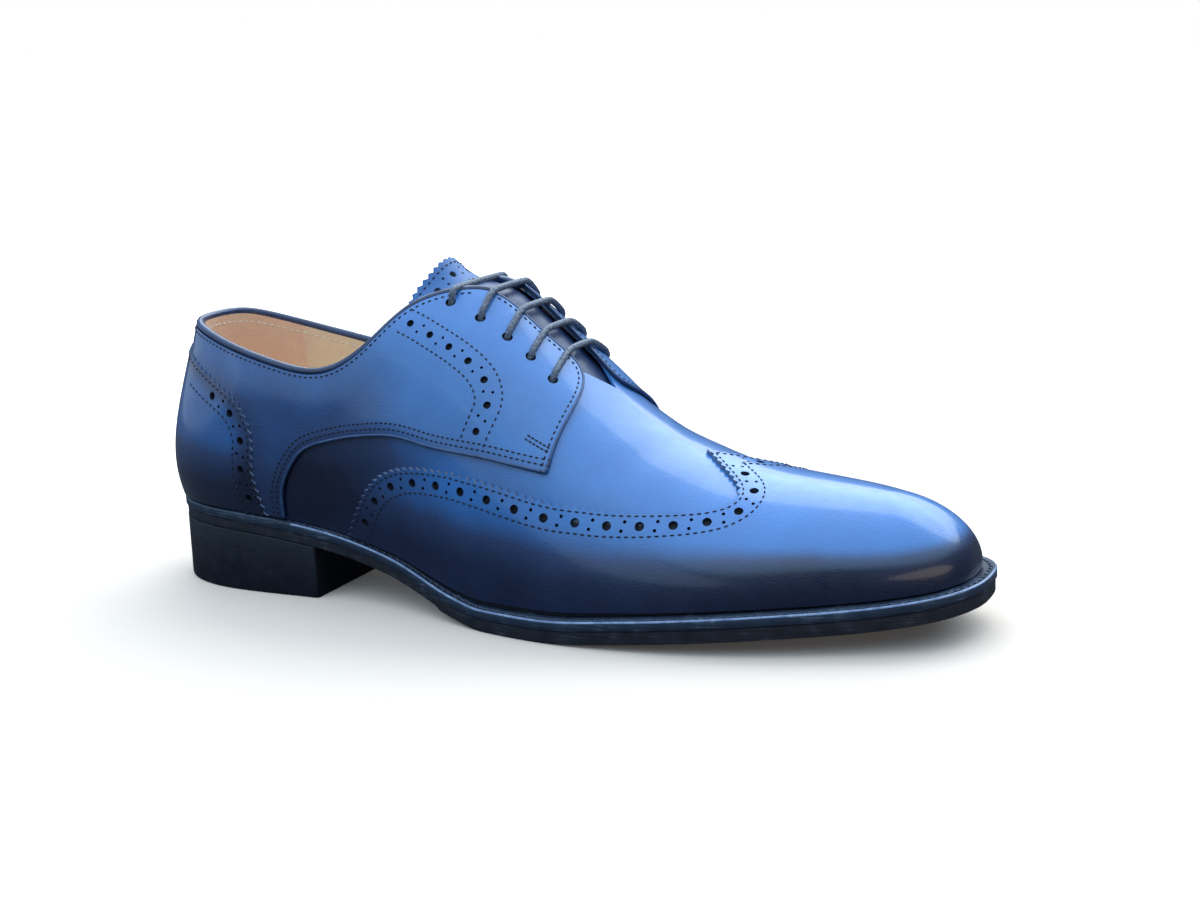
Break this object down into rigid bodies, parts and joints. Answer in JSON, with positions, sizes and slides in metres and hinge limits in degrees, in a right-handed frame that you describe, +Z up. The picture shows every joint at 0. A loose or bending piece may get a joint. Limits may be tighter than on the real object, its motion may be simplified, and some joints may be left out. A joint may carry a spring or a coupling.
{
  "type": "full brogue derby shoe",
  "caption": "Leather derby shoe for the right foot: hollow upper on a last, winged toe cap, heel counter, open-laced facings, tongue, welted rubber sole and block heel; it is worn on a foot.",
  "frame": {"origin": "middle of the shoe's box, on the floor that it stands on", "axes": "+X towards the toe, +Y towards the medial side, +Z up"},
  "size_m": [0.3042, 0.1031, 0.1128],
  "materials": {
    "blue_calf": "burnished, polished calf",
    "dark_calf": "burnished, polished calf",
    "tongue_calf": "soft calf",
    "tan_lining": "matt lining leather",
    "sole_rubber": "matt, knurled tread",
    "welt_leather": "waxed edge",
    "lace_cord": "waxed round cord"
  },
  "bodies": {
    "root": {"outsole": "sole_rubber", "welt": "welt_leather", "heel": "sole_rubber", "insole": "tan_lining", "upper": "blue_calf", "heel_counter": "dark_calf", "quarter_lateral": "blue_calf", "quarter_medial": "blue_calf", "wing_cap": "dark_calf", "tongue": "tongue_calf", "collar_binding": "dark_calf", "lace_bar_1": "lace_cord", "lace_bar_2": "lace_cord", "lace_bar_3": "lace_cord", "lace_bar_4": "lace_cord", "lace_bar_5": "lace_cord"}
  },
  "joints": []
}
